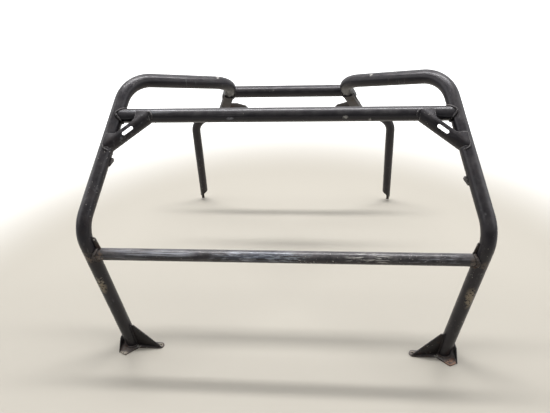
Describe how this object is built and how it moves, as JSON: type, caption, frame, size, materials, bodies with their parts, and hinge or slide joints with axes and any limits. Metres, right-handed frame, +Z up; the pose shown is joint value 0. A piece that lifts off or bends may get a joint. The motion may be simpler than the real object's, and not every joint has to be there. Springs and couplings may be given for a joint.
{
  "type": "headache rack",
  "caption": "Headache rack of bent steel tube for a side-by-side vehicle: front frame with crossbars, slotted corner gussets and bolt-down feet, and a rear hoop.",
  "frame": {"origin": "middle of the footprint, on the floor plane under the front feet and the rear tongues", "axes": "+X to the rack's right seen from its front, across the vehicle; +Y from the front feet to the rear hoop; +Z up"},
  "size_m": [1.2212, 1.0506, 0.8617],
  "materials": {
    "tube_paint": "semi-gloss black paint over welded steel tube, dusty and scuffed",
    "sheet_paint": "semi-gloss black paint on folded sheet",
    "bracket_paint": "dusty satin black paint",
    "foot_paint": "worn semi-gloss black paint with light edges and rust stains",
    "tab_paint": "thin black paint worn to grey and tan",
    "tongue_paint": "worn black paint with brown rust"
  },
  "bodies": {
    "root": {"main_tube_left": "tube_paint", "main_tube_right": "tube_paint", "upper_crossbar": "tube_paint", "lower_crossbar": "tube_paint", "rear_crossbar": "tube_paint", "rear_hoop": "tube_paint", "corner_gusset_left": "sheet_paint", "drop_bracket_left": "bracket_paint", "bracket_web_left": "bracket_paint", "foot_base_left": "foot_paint", "foot_side_left": "foot_paint", "foot_gusset_left": "foot_paint", "bar_tab_left": "tab_paint", "leg_ear_left": "tab_paint", "rear_tongue_left": "tongue_paint", "corner_gusset_right": "sheet_paint", "drop_bracket_right": "bracket_paint", "bracket_web_right": "bracket_paint", "foot_base_right": "foot_paint", "foot_side_right": "foot_paint", "foot_gusset_right": "foot_paint", "bar_tab_right": "tab_paint", "leg_ear_right": "tab_paint", "rear_tongue_right": "tongue_paint"}
  },
  "joints": []
}
